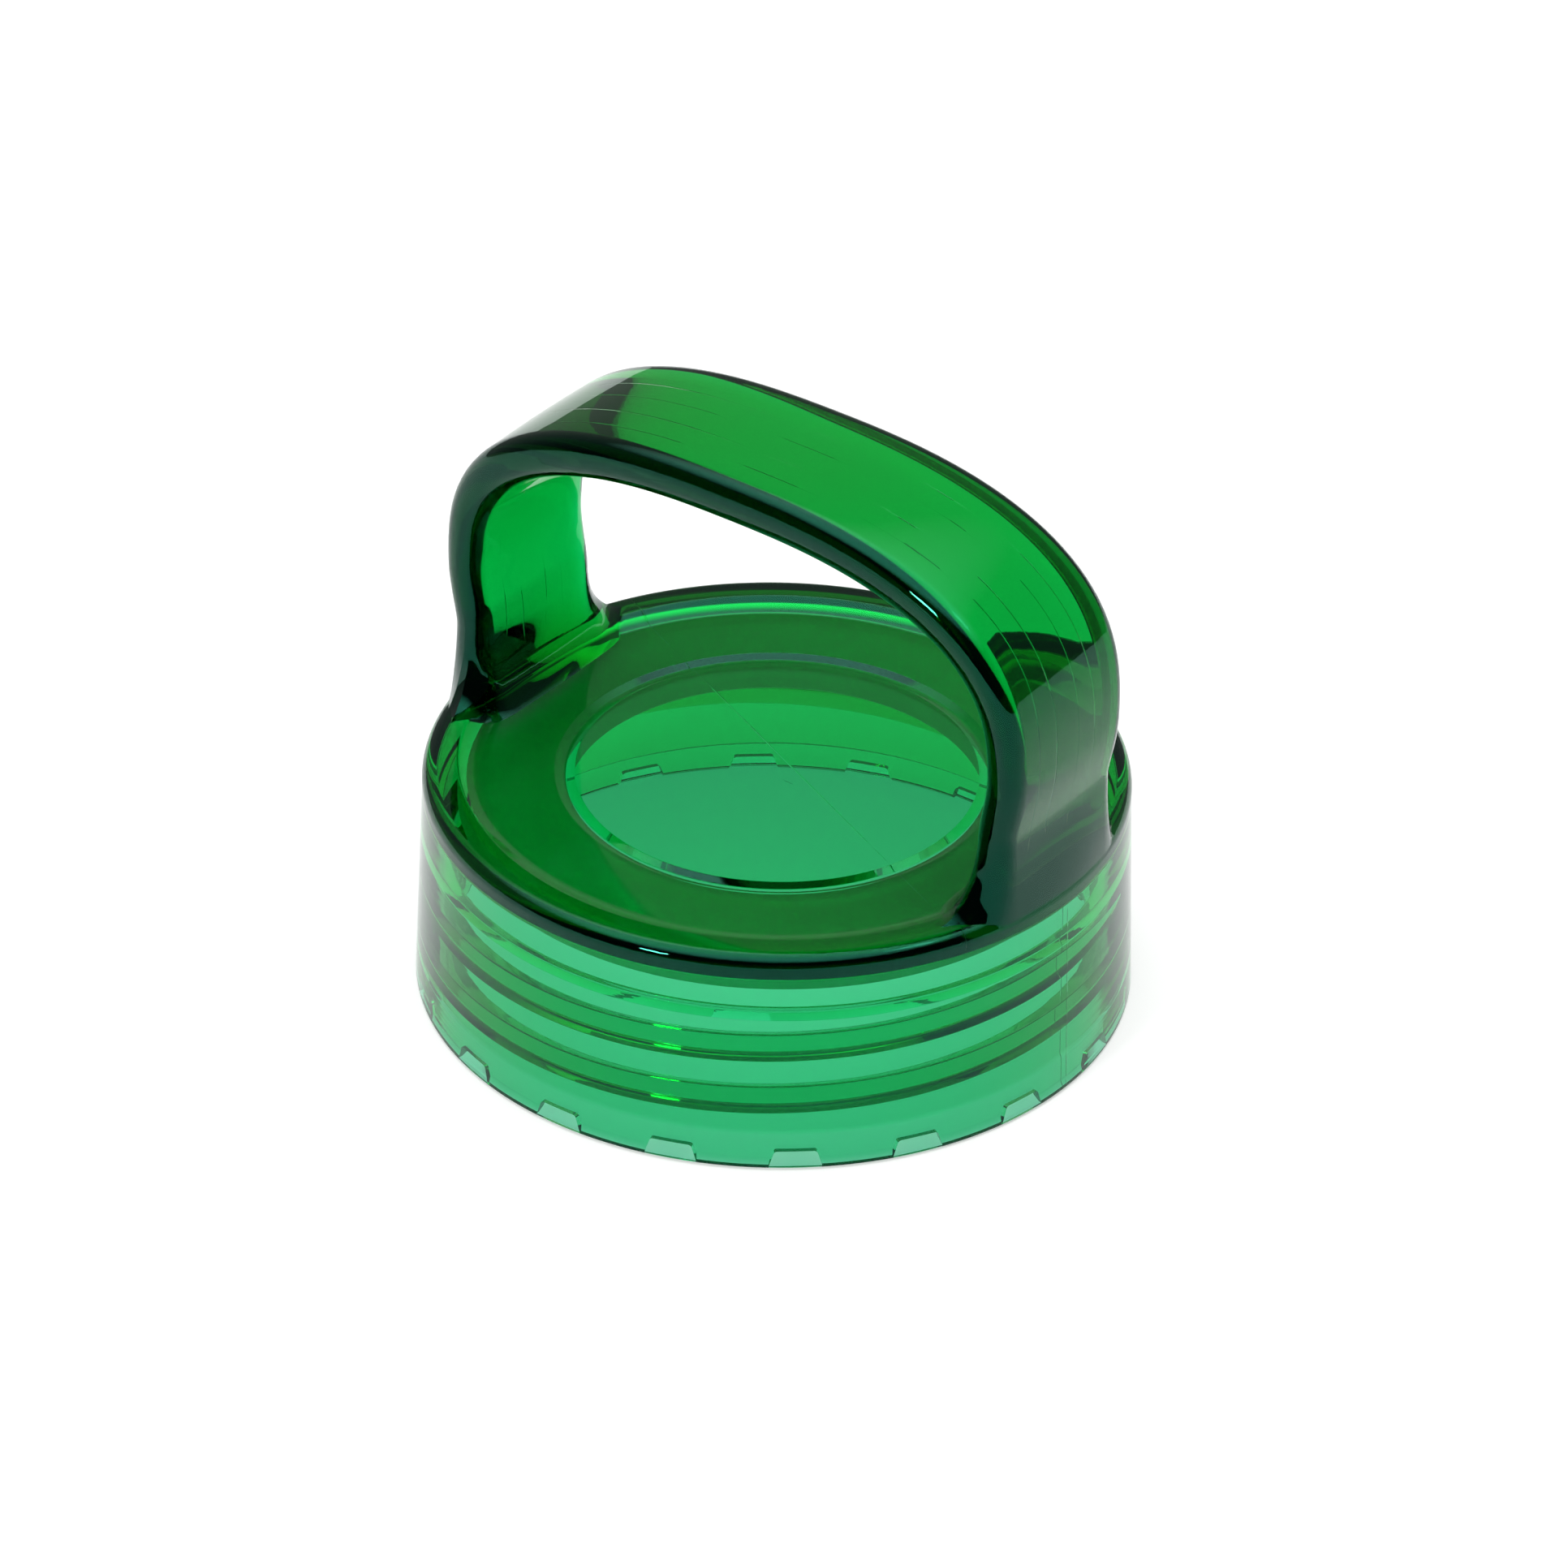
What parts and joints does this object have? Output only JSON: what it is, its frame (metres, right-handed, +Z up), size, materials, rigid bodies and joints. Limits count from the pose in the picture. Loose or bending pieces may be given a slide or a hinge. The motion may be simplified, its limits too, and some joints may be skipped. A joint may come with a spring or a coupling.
{
  "type": "screw cap with carry loop",
  "caption": "Transparent green screw cap for a wide-mouth jar or bottle, with a moulded strap loop arched over its top, an internal thread and a seal ring.",
  "frame": {"origin": "centre of the open rim, on the surface that the cap stands on", "axes": "+Z up along the thread's axis, out of the closed top; +X along the loop's span; +Y across the strap"},
  "size_m": [0.068, 0.068, 0.0575],
  "materials": {
    "green_plastic": "clear tinted, polished",
    "clear_silicone": "warm milky, satin"
  },
  "bodies": {
    "root": {"cap_skirt": "green_plastic", "top_plate": "green_plastic", "screw_thread": "green_plastic", "seal_ring": "clear_silicone", "carry_loop": "green_plastic"}
  },
  "joints": []
}
